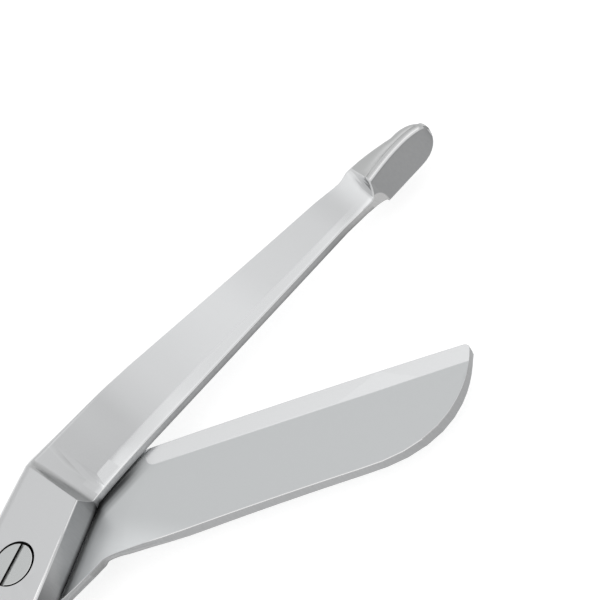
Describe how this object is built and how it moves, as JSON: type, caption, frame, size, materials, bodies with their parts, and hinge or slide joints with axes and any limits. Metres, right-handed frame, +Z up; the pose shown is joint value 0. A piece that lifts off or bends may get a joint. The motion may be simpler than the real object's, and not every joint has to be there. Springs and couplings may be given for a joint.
{
  "type": "bandage scissors",
  "caption": "Angled bandage scissors with finger rings, a blunt probe-tipped narrow blade and a broad round-ended blade that turn on a slotted screw.",
  "frame": {"origin": "where the screw's axis meets the surface that the scissors lie on", "axes": "+Z up along the screw's axis, towards its slotted head; +X from the handles to the blades, midway between the two finger rings"},
  "size_m": [0.1827, 0.1112, 0.0086],
  "materials": {
    "ground_steel": "fine ground stainless steel with softened bright edges",
    "turned_steel": "turned and ground stainless steel"
  },
  "bodies": {
    "plain_half": {"plain_half": "ground_steel", "pivot_screw": "turned_steel"},
    "probe_half": {"probe_half": "ground_steel"}
  },
  "joints": [
    {"name": "blade_pivot", "type": "hinge", "parent": "plain_half", "child": "probe_half", "pos_m": [0, 0, 0.0043], "axis": [0, 0, 1], "range_deg": [-28.3, 47]}
  ]
}
